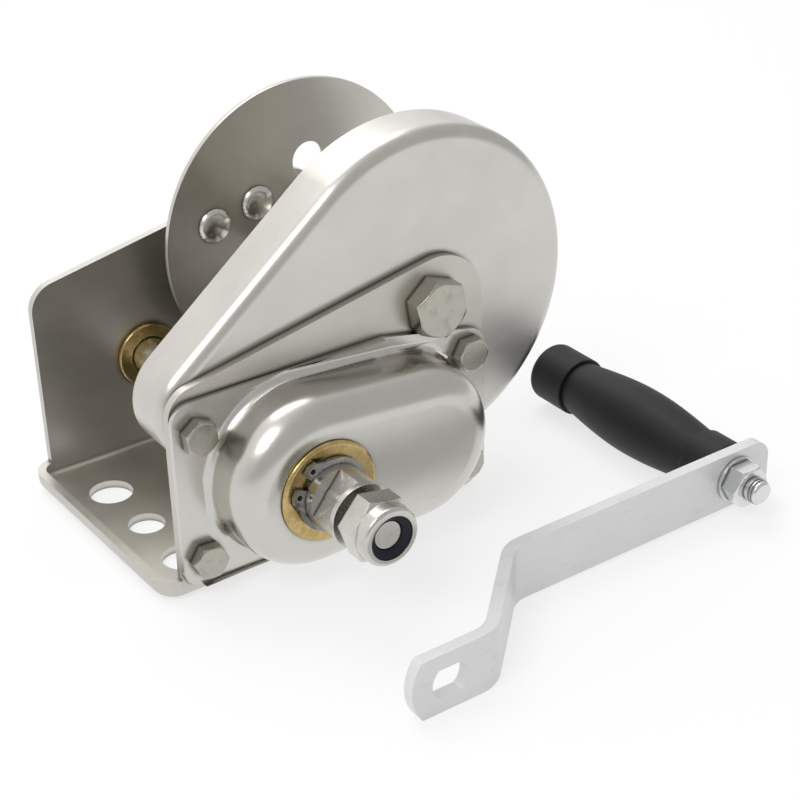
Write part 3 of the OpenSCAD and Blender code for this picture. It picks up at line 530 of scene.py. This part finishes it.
def in_degrees(name, description, degrees):
    return FloatProperty(name=name, description=description, default=math.radians(degrees), subtype="ANGLE")


def in_colour(name, description, *colour):
    return FloatVectorProperty(name=name, description=description, default=colour, subtype="COLOR", size=3,
                               min=0, max=1)


class WinchSizes(bpy.types.PropertyGroup):
    dome_radius: in_mm("Dome radius", "Radius of the brake cover round the drive shaft", 36)
    dome_end_radius: in_mm("Dome end radius", "Radius of the brake cover's other end", 33)
    dome_end_x: in_mm("Dome end place", "Middle of the brake cover's other end along X", 28.5)
    dome_drop: in_mm("Dome drop", "How much lower the other end lies than the shaft", 1.3)
    dome_rounding: in_mm("Dome rounding", "Radius of the rounding round the brake cover's face", 13)
    dome_foot: in_mm("Dome foot", "Radius of the flare where the dome meets its flange", 3.6)
    flange_thickness: in_mm("Flange thickness", "Thickness of the brake cover's sheet", 2.5)
    flange_corner: in_mm("Flange corner", "Radius of the brake cover's corners", 8)
    flange_edge: in_mm("Flange edge", "Rounding of the brake cover's cut edges", 0.35)
    bush_lap: in_mm("Bush lap", "How far the bush's flange laps over the brake cover's hole", 4.7)
    gear_cover_tip: in_mm("Gear cover tip", "Radius of the gear cover's pointed end", 22)
    gear_cover_tip_z: in_mm("Gear cover tip height", "Height of the middle of the pointed end", 75.5)
    gear_cover_rounding: in_mm("Gear cover rounding", "Radius of the rounding round its face", 6)
    gear_cover_wall: in_mm("Gear cover wall", "Thickness of the gear cover's sheet", 1.5)
    gear_cover_edge: in_mm("Gear cover edge", "Rounding of the gear cover's cut edges", 0.3)
    axle_hole: in_mm("Axle hole", "Radius of the gear cover's hole for the axle bolt", 7.1)
    shaft_hole: in_mm("Shaft hole", "Radius of the gear cover's hole for the shaft's bush", 11.1)
    bar_width: in_mm("Bar width", "Width of the crank's bar", 25)
    bar_thickness: in_mm("Bar thickness", "Thickness of the crank's bar", 5)
    bar_edge: in_mm("Bar edge", "Rounding of the crank bar's edges", 1.1)
    bar_end_radius: in_mm("Bar end radius", "Radius of the crank's end at the shaft", 20)
    bar_corner: in_mm("Bar corner", "Radius of the bar's corners at the grip", 8)
    bar_bend: in_mm("Bar bend", "Radius of the bar's bends, at its middle", 15)
    bar_slope: in_degrees("Bar slope", "Angle of the bar's sloping step", 45)
    bar_bend_start: in_mm("Bend place", "Distance from the crank's hole to its first bend", 20)
    crank_reach: in_mm("Crank reach", "Distance from the crank's hole to the grip's bolt", 171)
    seat_reach: in_mm("Seat reach", "Distance from the bar's end to its hole", 16.5)
    grip_reach: in_mm("Grip end reach", "Distance from the grip's bolt to the bar's end", 18)
    seat_width: in_mm("Seat width", "Width of the crank's hole", 15.4)
    seat_flats: in_mm("Seat flats", "Height of the crank's hole between its flats", 12.2)
    grip_hole: in_mm("Grip hole", "Radius of the bar's hole for the grip's bolt", 5.05)
    hole_edge: in_mm("Hole edge", "Rounding of the edges of the bar's holes", 0.3)
    crank_rest: in_mm("Crank rest", "Distance from the bar's end to the point it rests on", 4)
    crank_tilt: in_degrees("Crank tilt", "Tilt of the crank, which rests on its end and on the grip", 0.812)
    grip_thread: in_mm("Grip thread", "Radius of the grip bolt's thread", 5)
    grip_thread_pitch: in_mm("Grip thread pitch", "Pitch of the grip bolt's thread", 1.5)
    outline_points: IntProperty(
        name="Outline points", description="Points round a pressed cover", default=216, min=72, max=360)


class WinchColours(bpy.types.PropertyGroup):
    frame_steel: in_colour("Frame steel", "Satin stainless of the frame and the drum", 0.58, 0.56, 0.515)
    cover_steel: in_colour("Cover steel", "Drawn stainless of the two covers", 0.60, 0.585, 0.55)
    bright_steel: in_colour("Bright steel", "Shaft, hub, lock nut and round heads", 0.60, 0.585, 0.55)
    bolt_steel: in_colour("Bolt steel", "Hexagon bolts of the housing", 0.43, 0.415, 0.365)
    plain_steel: in_colour("Plain steel", "Gears, ratchet and clips", 0.33, 0.32, 0.31)
    zinc: in_colour("Zinc plate", "Crank bar and rope clamp", 0.71, 0.715, 0.72)
    bronze: in_colour("Bronze", "Bushes", 0.56, 0.43, 0.20)
    grip: in_colour("Grip", "Black moulded grip", 0.008, 0.008, 0.009)
    nylon: in_colour("Nylon", "Ring in the lock nut", 0.004, 0.005, 0.011)
    lining: in_colour("Lining", "Friction discs", 0.10, 0.06, 0.04)
    floor: in_colour("Floor", "Floor under the winch", 0.86, 0.86, 0.86)


class WinchStage(bpy.types.PropertyGroup):
    azimuth: in_degrees("Azimuth", "Camera's turn round the winch", -33.381)
    elevation: in_degrees("Elevation", "Camera's height over the horizon", 32.716)
    roll: in_degrees("Roll", "Camera's turn round its own axis", -1.846)
    eye: FloatVectorProperty(
        name="Eye", description="Place of the camera", default=(-0.3428, -0.5993, 0.4170),
        subtype="XYZ", unit="LENGTH")
    lens: FloatProperty(name="Lens", description="Focal length in millimetres", default=85.48)
    shift: FloatVectorProperty(
        name="Shift", description="Shift of the picture in its own widths", default=(0.0472, 0.1634), size=2)
    seen_glow: FloatProperty(
        name="Seen glow", description="Share of plain white in the floor that the camera sees", default=0.72)
    mirrored_glow: FloatProperty(
        name="Mirrored glow", description="Share of plain white in the floor that metal shows", default=0.92)
    tent_light: FloatProperty(
        name="Tent light", description="Strength of the white tent all round", default=0.58)
    tent_back_light: FloatProperty(
        name="Tent back light", description="Strength that the tent gains behind the winch", default=0.5)


def sizes():
    return bpy.context.scene.winch_sizes


def colours():
    return bpy.context.scene.winch_colours


# Operators

class PieceOperator:
    bl_options = {"REGISTER", "UNDO"}


class WINCH_OT_frame(PieceOperator, bpy.types.Operator):
    """Dress the folded frame in satin stainless"""
    bl_idname = "winch.frame"
    bl_label = "Frame"

    def execute(self, context):
        steel = satin_steel("satin frame steel", colours().frame_steel, (16.0, 1.0, 1.0), 0.40)
        dressed_copy("frame", steel, edge=0.5, segments=3)
        return {"FINISHED"}


class WINCH_OT_gear_cover(PieceOperator, bpy.types.Operator):
    """Press the teardrop cover over the gears"""
    bl_idname = "winch.gear_cover"
    bl_label = "Gear cover"

    def execute(self, context):
        size = sizes()
        circles = [
            (GEARS_LOW.x + size.gear_cover_tip, size.gear_cover_tip_z, size.gear_cover_tip),
            (SHAFT.x, SHAFT.z, SHAFT.z - GEARS_LOW.z),
            (AXLE.x, AXLE.z, GEARS_HIGH.x - AXLE.x),
        ]
        cover = open_prism(circles, GEARS_LOW.y, GEARS_HIGH.y, size.outline_points)
        pick(cover, edges=at_y(GEARS_LOW.y))
        bpy.ops.mesh.bevel(offset=size.gear_cover_rounding, segments=10, profile=0.5, affect="EDGES")
        done()
        face_outwards(cover)
        modify(cover, "SOLIDIFY", thickness=size.gear_cover_wall, offset=-1.0)
        low_y = GEARS_LOW.y - CUT_CLEAR
        high_y = GEARS_LOW.y + CUT_CLEAR
        for place, radius in ((AXLE, size.axle_hole), (SHAFT, size.shaft_hole)):
            cut_away(cover, rod_cutter(place.x, place.z, radius, low_y, high_y))
        break_edges(cover, size.gear_cover_edge, 2, angle=50)
        smooth(cover, angle=40)
        steel = satin_steel("drawn gear cover steel", colours().cover_steel, (9.0, 1.0, 4.0), 0.30)
        finish_piece(cover, "gear_cover_pressing", ["gear_cover"], steel)
        return {"FINISHED"}


class WINCH_OT_brake_cover(PieceOperator, bpy.types.Operator):
    """Press the domed brake cover with its bolted flange"""
    bl_idname = "winch.brake_cover"
    bl_label = "Brake cover"

    def execute(self, context):
        size = sizes()
        flange_y = PLATE_FRONT - size.flange_thickness
        dome = [
            (SHAFT.x, SHAFT.z, size.dome_radius),
            (size.dome_end_x, SHAFT.z - size.dome_drop, size.dome_end_radius),
        ]
        cover = open_prism(dome, COVER_LOW.y, flange_y, size.outline_points)
        self.add_flange(cover, size, flange_y)
        pick(cover, edges=self.foot_test(size, dome, flange_y))
        bpy.ops.mesh.bevel(offset=size.dome_foot, segments=5, profile=0.5, affect="EDGES")
        done()
        pick(cover, edges=at_y(COVER_LOW.y))
        bpy.ops.mesh.bevel(offset=size.dome_rounding, segments=14, profile=0.5, affect="EDGES")
        done()
        face_outwards(cover)
        modify(cover, "SOLIDIFY", thickness=size.flange_thickness, offset=-1.0)
        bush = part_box("cover_bush")
        hole = (bush[1].x - bush[0].x) / 2 - size.bush_lap
        cut_away(cover, rod_cutter(SHAFT.x, SHAFT.z, hole,
                                   COVER_LOW.y - CUT_CLEAR, COVER_LOW.y + CUT_CLEAR))
        break_edges(cover, size.flange_edge, 2, angle=50)
        smooth(cover, angle=40)
        steel = satin_steel("drawn brake cover steel", colours().cover_steel, (6.0, 3.0, 3.0), 0.25,
                            cloud=0.04)
        finish_piece(cover, "brake_cover_pressing", ["brake_cover"], steel)
        return {"FINISHED"}

    def add_flange(self, cover, size, flange_y):
        """Joins the flange's outline, with its ear at the upper right bolt, to the dome's open foot."""
        corner = size.flange_corner
        set_back = 4 * MM
        ear_radius = 9.6 * MM
        ear_drop = 12 * MM
        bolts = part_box("cover_bolts")
        outline = [
            (COVER_LOW.x + corner, COVER_LOW.z + corner, corner),
            (COVER_HIGH.x - corner, COVER_LOW.z + corner, corner),
            (COVER_HIGH.x - ear_radius, bolts[1].z - ear_drop, ear_radius),
            (size.dome_end_x - set_back, COVER_HIGH.z - corner, corner),
            (COVER_LOW.x + corner, COVER_HIGH.z - corner, corner),
        ]
        rim = belt_face(outline, flange_y, size.outline_points)
        pick(rim, faces=lambda f: True)
        bpy.ops.mesh.delete(type="ONLY_FACE")
        done()
        activate(cover, rim)
        bpy.ops.object.join()
        pick(cover, edges=at_y(flange_y))
        bpy.ops.mesh.bridge_edge_loops()
        done()

    def foot_test(self, size, dome, flange_y):
        """Test for the edges where the dome meets its flange."""
        margin = 0.1 * MM

        def at_foot(point):
            in_end = any(math.hypot(point.x - x, point.z - z) < radius + margin for x, z, radius in dome)
            between = SHAFT.x < point.x < size.dome_end_x
            return in_end or between and abs(point.z - SHAFT.z) <= size.dome_radius + 2 * margin

        on_flange = at_y(flange_y)
        return lambda a, b: on_flange(a, b) and at_foot(a) and at_foot(b)


class WINCH_OT_fasteners(PieceOperator, bpy.types.Operator):
    """Dress the bolts and nuts of the housing"""
    bl_idname = "winch.fasteners"
    bl_label = "Fasteners"

    def execute(self, context):
        steel = turned_steel("bolt steel", colours().bolt_steel, 0.17, pitting=0.6)
        for node in ("cover_bolts", "axle_bolt", "axle_nut"):
            dressed_copy(node, steel, edge=0.35, segments=3)
        return {"FINISHED"}


class WINCH_OT_drum(PieceOperator, bpy.types.Operator):
    """Dress the drum with its gear, flanges, rivets and rope clamp"""
    bl_idname = "winch.drum"
    bl_label = "Drum"

    def execute(self, context):
        sheet = satin_steel("satin drum steel", colours().frame_steel, (1.0, 1.0, 1.0), 0.33)
        plain = turned_steel("cut gear steel", colours().plain_steel, 0.38, pitting=0.7)
        bright = turned_steel("bright rivet steel", colours().bright_steel, 0.22)
        zinc = zinc_plate("zinc clamp", colours().zinc, 0.42)
        for node in ("near_flange", "far_flange"):
            dressed_copy(node, sheet, edge=0.5)
        dressed_copy("drum_core", sheet, edge=0.3)
        dressed_copy("drum_gear", plain, edge=0.2)
        dressed_copy("drum_rivets", bright, edge=0.2)
        dressed_copy("rope_clamp", zinc, edge=0.5)
        dressed_copy("clamp_bolts", bright, edge=0.3)
        dressed_copy("clamp_nuts", bright, edge=0.3)
        return {"FINISHED"}


class WINCH_OT_bushes(PieceOperator, bpy.types.Operator):
    """Dress the bronze bushes"""
    bl_idname = "winch.bushes"
    bl_label = "Bushes"

    def execute(self, context):
        bronze = cast_bronze("bush bronze", colours().bronze, 0.22)
        for node in ("cover_bush", "far_bush", "plate_bush", "drum_bushes"):
            dressed_copy(node, bronze, edge=0.7, segments=3)
        return {"FINISHED"}


class WINCH_OT_drive_line(PieceOperator, bpy.types.Operator):
    """Dress the drive shaft with its hub, washer, lock nut and clips"""
    bl_idname = "winch.drive_line"
    bl_label = "Drive line"

    def execute(self, context):
        bright = turned_steel("bright shaft steel", colours().bright_steel, 0.25)
        clip = turned_steel("clip steel", colours().plain_steel, 0.3)
        nylon = moulded_plastic("blue black nylon", colours().nylon, 0.5)
        for node in ("drive_shaft", "drive_hub", "shaft_washer", "lock_nut"):
            dressed_copy(node, bright, edge=0.18)
        for node in ("hub_circlip", "shaft_circlip"):
            dressed_copy(node, clip, edge=0.15)
        dressed_copy("nut_insert", nylon, edge=0.2)
        return {"FINISHED"}


class WINCH_OT_brake(PieceOperator, bpy.types.Operator):
    """Dress the pinion, the ratchet and the brake's inner pieces"""
    bl_idname = "winch.brake"
    bl_label = "Brake"

    def execute(self, context):
        plain = turned_steel("brake steel", colours().plain_steel, 0.35, pitting=0.6)
        lining = moulded_plastic("brake lining", colours().lining, 0.8, grain=0.0012, depth=0.0002)
        for node in ("pinion", "pressure_plate", "ratchet_wheel", "pawl", "pawl_pin", "pawl_clip",
                     "pawl_spring", "axle_sleeve"):
            dressed_copy(node, plain, edge=0.2)
        dressed_copy("friction_discs", lining, edge=0.2)
        return {"FINISHED"}


class WINCH_OT_crank(PieceOperator, bpy.types.Operator):
    """Dress the crank's bar and its fasteners"""
    bl_idname = "winch.crank"
    bl_label = "Crank"

    def execute(self, context):
        zinc = zinc_plate("zinc crank", colours().zinc, 0.40)
        bright = turned_steel("bright zinc", colours().zinc, 0.24)
        size = sizes()
        finish_piece(self.bar(size), "crank_bar", ["crank_arm"], zinc)
        for node in ("grip_bolt", "grip_nut", "grip_washer"):
            dressed_copy(node, bright, edge=0.18)
        bolt_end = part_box("grip_bolt")[0].y
        nut_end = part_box("grip_nut")[0].y
        thread("grip_bolt_thread", "grip_bolt", size.grip_thread, size.grip_thread_pitch, bolt_end, nut_end,
               bright)
        return {"FINISHED"}

    def bar(self, size):
        """Flat bar with rounded edges and its two holes, laid on the floor."""
        low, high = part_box("crank_arm")
        hole_x = low.x + size.seat_reach
        middle_z = size.bar_width / 2
        end_x = hole_x + size.crank_reach + size.grip_reach
        bar = self.pushed_bar(size, low, high, hole_x, end_x)
        corner_zone = 0.1 * MM
        pick(bar, edges=lambda a, b: min(a.x, b.x) > end_x - corner_zone and abs(a.z - b.z) < corner_zone)
        bpy.ops.mesh.bevel(offset=size.bar_corner, segments=10, profile=0.5, affect="EDGES")
        bpy.ops.mesh.select_all(action="SELECT")
        bpy.ops.mesh.normals_make_consistent(inside=False)
        done()
        break_edges(bar, size.bar_edge, 3, angle=50)
        cut_away(bar, double_d_cutter(hole_x, middle_z, size.seat_width, size.seat_flats,
                                      low.y - CUT_CLEAR, low.y + 2 * CUT_CLEAR))
        cut_away(bar, rod_cutter(hole_x + size.crank_reach, middle_z, size.grip_hole,
                                 high.y - 2 * CUT_CLEAR, high.y + CUT_CLEAR))
        break_edges(bar, size.hole_edge, 2, angle=60)
        pick(bar, vertices=lambda v: True)
        bpy.ops.transform.rotate(value=size.crank_tilt, orient_axis="Y",
                                 center_override=(low.x + size.crank_rest, 0, 0))
        done()
        smooth(bar, angle=32)
        return bar

    def pushed_bar(self, size, low, high, hole_x, end_x):
        """Bar with a round end and a sloping step, pushed out from the shaft's end to the grip's."""
        half_width = size.bar_width / 2
        radius = size.bar_end_radius
        depth = radius - math.sqrt(radius ** 2 - half_width ** 2)
        steps = 12
        cuts = [depth * (k / steps) ** 2 for k in range(1, steps + 1)]
        widths = [2 * math.sqrt(radius ** 2 - (radius - cut) ** 2) for cut in cuts]
        end = BarEnd(low.x + cuts[0], low.y + size.bar_thickness / 2, half_width, size.bar_thickness,
                     widths[0])
        for k in range(1, steps):
            end.push(cuts[k] - cuts[k - 1])
            end.widen(widths[k] / widths[k - 1])
        lead = size.bar_bend * math.tan(size.bar_slope / 2)
        slope_length = (high.y - low.y - size.bar_thickness) / math.sin(size.bar_slope)
        end.push(hole_x + size.bar_bend_start - lead - end.place.x)
        end.bend(size.bar_bend, size.bar_slope)
        end.push(slope_length - 2 * lead)
        end.bend(size.bar_bend, -size.bar_slope)
        end.push(end_x - end.place.x)
        done()
        return end.bar


class WINCH_OT_grip(PieceOperator, bpy.types.Operator):
    """Dress the turning grip"""
    bl_idname = "winch.grip"
    bl_label = "Grip"

    def execute(self, context):
        black = moulded_plastic("black grip plastic", colours().grip, 0.55)
        dressed_copy("crank_grip", black, edge=0.4)
        dressed_copy("grip_cap", black, edge=0.6)
        return {"FINISHED"}


class WINCH_OT_stage(PieceOperator, bpy.types.Operator):
    """Set up the floor, the light and the camera"""
    bl_idname = "winch.stage"
    bl_label = "Stage"

    def execute(self, context):
        stage = context.scene.winch_stage
        self.floor(stage)
        self.world(stage)
        self.lamps()
        self.camera(stage)
        context.scene.view_settings.view_transform = "Standard"
        return {"FINISHED"}

    def floor(self, stage):
        """A floor that the camera and the metal see almost white, with the shadow kept."""
        deselect_all()
        bpy.ops.mesh.primitive_plane_add(size=6.0)
        floor = bpy.context.object
        floor.name = "floor"
        finish = new_finish("pale floor")
        diffuse = finish.add("ShaderNodeBsdfDiffuse", {}, {"Color": tuple(colours().floor) + (1.0,)})
        glow = finish.add("ShaderNodeEmission", {}, {"Color": (1.0, 1.0, 1.0, 1.0), "Strength": 1.0})
        seen = finish.add("ShaderNodeLightPath", {}, {}, "Is Camera Ray")
        mirrored = finish.add("ShaderNodeLightPath", {}, {}, "Is Glossy Ray")
        share = seen * stage.seen_glow + mirrored * stage.mirrored_glow
        mix = finish.add("ShaderNodeMixShader", {}, {"Fac": share, 1: diffuse, 2: glow})
        floor.data.materials.append(finish.end(mix))

    def world(self, stage):
        """A white tent, brightest behind the winch and to its left, and plain white for the camera."""
        world = bpy.data.worlds.new("studio")
        bpy.context.scene.world = world
        finish = Finish(world, "ShaderNodeOutputWorld")
        direction = Value(finish, finish.coordinates.outputs["Generated"])
        behind_left = (-0.42, 0.78, 0.46)
        toward = finish.add("ShaderNodeVectorMath", {"operation": "DOT_PRODUCT"},
                            {0: direction, 1: behind_left}, "Value")
        tent = finish.add("ShaderNodeBackground", {}, {
            "Color": (1.0, 0.995, 0.985, 1.0),
            "Strength": stage.tent_light + stage.tent_back_light * toward.clamped(),
        })
        white = finish.add("ShaderNodeBackground", {}, {"Color": (1.0, 1.0, 1.0, 1.0)})
        seen = finish.add("ShaderNodeLightPath", {}, {}, "Is Camera Ray")
        finish.end(finish.add("ShaderNodeMixShader", {}, {"Fac": seen, 1: tent, 2: white}))

    def lamps(self):
        self.lamp("key lamp", (-0.9, -0.45, 1.15), size=0.6, power=6.5)
        self.lamp("top lamp", (0.1, 0.6, 1.3), size=1.0, power=6.5)
        self.lamp("back lamp", (0.8, 1.0, 0.8), size=1.2, power=1.2)

    def lamp(self, name, place, size, power):
        """Square lamp that points at the winch's middle."""
        aim = Vector((0.02, -0.04, 0.06))
        lamp = bpy.data.lights.new(name, "AREA")
        lamp.shape = "SQUARE"
        lamp.size = size
        lamp.energy = power
        obj = bpy.data.objects.new(name, lamp)
        obj.location = place
        obj.rotation_euler = (aim - Vector(place)).to_track_quat("-Z", "Y").to_euler()
        bpy.context.scene.collection.objects.link(obj)

    def camera(self, stage):
        back = Vector((
            math.sin(stage.azimuth) * math.cos(stage.elevation),
            -math.cos(stage.azimuth) * math.cos(stage.elevation),
            math.sin(stage.elevation),
        ))
        right = (-back).cross(Vector((0, 0, 1))).normalized()
        up = right.cross(-back)
        side = math.cos(stage.roll) * right + math.sin(stage.roll) * up
        over = -math.sin(stage.roll) * right + math.cos(stage.roll) * up
        data = bpy.data.cameras.new("camera")
        data.sensor_width = 36.0
        data.lens = stage.lens
        data.shift_x, data.shift_y = stage.shift
        data.clip_start = 0.01
        data.clip_end = 20.0
        camera = bpy.data.objects.new("camera", data)
        turn = Matrix((side, over, back)).transposed().to_4x4()
        camera.matrix_world = Matrix.Translation(Vector(stage.eye)) @ turn
        bpy.context.scene.collection.objects.link(camera)
        bpy.context.scene.camera = camera


class WINCH_PT_panel(bpy.types.Panel):
    bl_label = "Anchor winch"
    bl_space_type = "VIEW_3D"
    bl_region_type = "UI"
    bl_category = "Winch"

    def draw(self, context):
        for operator in OPERATORS:
            self.layout.operator(operator.bl_idname)
        for group in (context.scene.winch_sizes, context.scene.winch_colours, context.scene.winch_stage):
            column = self.layout.column()
            for key in group.__annotations__:
                column.prop(group, key)


OPERATORS = (
    WINCH_OT_stage, WINCH_OT_frame, WINCH_OT_gear_cover, WINCH_OT_brake_cover, WINCH_OT_fasteners,
    WINCH_OT_drum, WINCH_OT_bushes, WINCH_OT_drive_line, WINCH_OT_brake, WINCH_OT_crank, WINCH_OT_grip,
)
GROUPS = (WinchSizes, WinchColours, WinchStage)


def register():
    for item in GROUPS + OPERATORS + (WINCH_PT_panel,):
        bpy.utils.register_class(item)
    bpy.types.Scene.winch_sizes = PointerProperty(type=WinchSizes)
    bpy.types.Scene.winch_colours = PointerProperty(type=WinchColours)
    bpy.types.Scene.winch_stage = PointerProperty(type=WinchStage)


def unregister():
    for key in ("winch_sizes", "winch_colours", "winch_stage"):
        delattr(bpy.types.Scene, key)
    for item in reversed(GROUPS + OPERATORS + (WINCH_PT_panel,)):
        bpy.utils.unregister_class(item)


def main():
    register()
    for operator in OPERATORS:
        group, name = operator.bl_idname.split(".")
        getattr(getattr(bpy.ops, group), name)()


if __name__ == "__main__":
    main()
